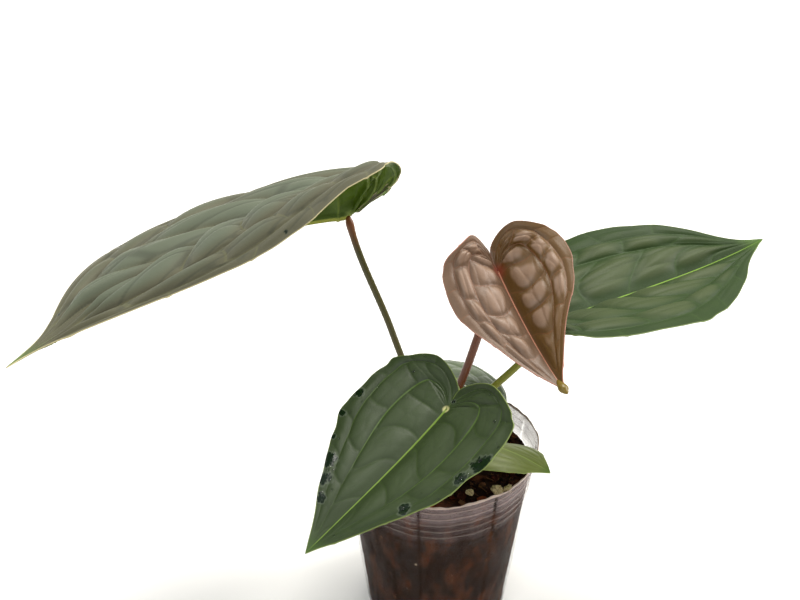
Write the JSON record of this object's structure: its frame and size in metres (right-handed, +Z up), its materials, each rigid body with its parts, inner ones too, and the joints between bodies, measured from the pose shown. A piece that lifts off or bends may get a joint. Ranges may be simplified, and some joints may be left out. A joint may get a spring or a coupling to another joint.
{
  "type": "potted anthurium",
  "caption": "Young anthurium with heart-shaped quilted leaves on long petioles, growing in a translucent ringed nursery pot of dark bark mix.",
  "frame": {"origin": "centre of the pot's flat base, on the surface it stands on", "axes": "+Z up out of the pot; +X towards the tip of the mid-green leaf, with the large leaf on the -X side; -Y towards the front leaf"},
  "size_m": [0.3579, 0.2134, 0.2669],
  "materials": {
    "pot_plastic": "smoky translucent soft plastic, semi-gloss",
    "potting_mix": "dark damp bark and peat mix",
    "stem_tissue": "matte olive stem",
    "leaf_large": "velvety grey-green with sunken veins",
    "leaf_front": "dark velvety green with a pale midrib",
    "leaf_young": "glossy bronze, quilted",
    "leaf_right": "satin mid green, quilted",
    "leaf_back": "pale grey-green, satin",
    "leaf_rim": "light yellow-green, satin",
    "petiole_olive": "olive green with a reddish neck",
    "petiole_green": "green",
    "petiole_red": "red-brown, glossy",
    "cataphyll": "dry papery brown",
    "root": "pale tan root skin",
    "pumice": "cream, pitted",
    "bark": "damp reddish-brown bark"
  },
  "bodies": {
    "root": {"clear_pot": "pot_plastic", "potting_mix": "potting_mix", "stem": "stem_tissue", "leaf_large": "leaf_large", "leaf_front": "leaf_front", "leaf_young": "leaf_young", "leaf_right": "leaf_right", "leaf_back": "leaf_back", "leaf_rim": "leaf_rim", "petiole_large": "petiole_olive", "petiole_front": "petiole_green", "petiole_young": "petiole_red", "petiole_right": "petiole_green", "petiole_back": "petiole_green", "petiole_rim": "petiole_green", "cataphyll_1": "cataphyll", "cataphyll_2": "cataphyll", "root_1": "root", "root_2": "root", "root_3": "root", "root_4": "root", "pumice_1": "pumice", "pumice_2": "pumice", "pumice_3": "pumice", "pumice_4": "pumice", "bark_chip_1": "bark", "bark_chip_2": "bark", "bark_chip_3": "bark", "bark_chip_4": "bark", "bark_chip_5": "bark", "bark_chip_6": "bark"}
  },
  "joints": []
}
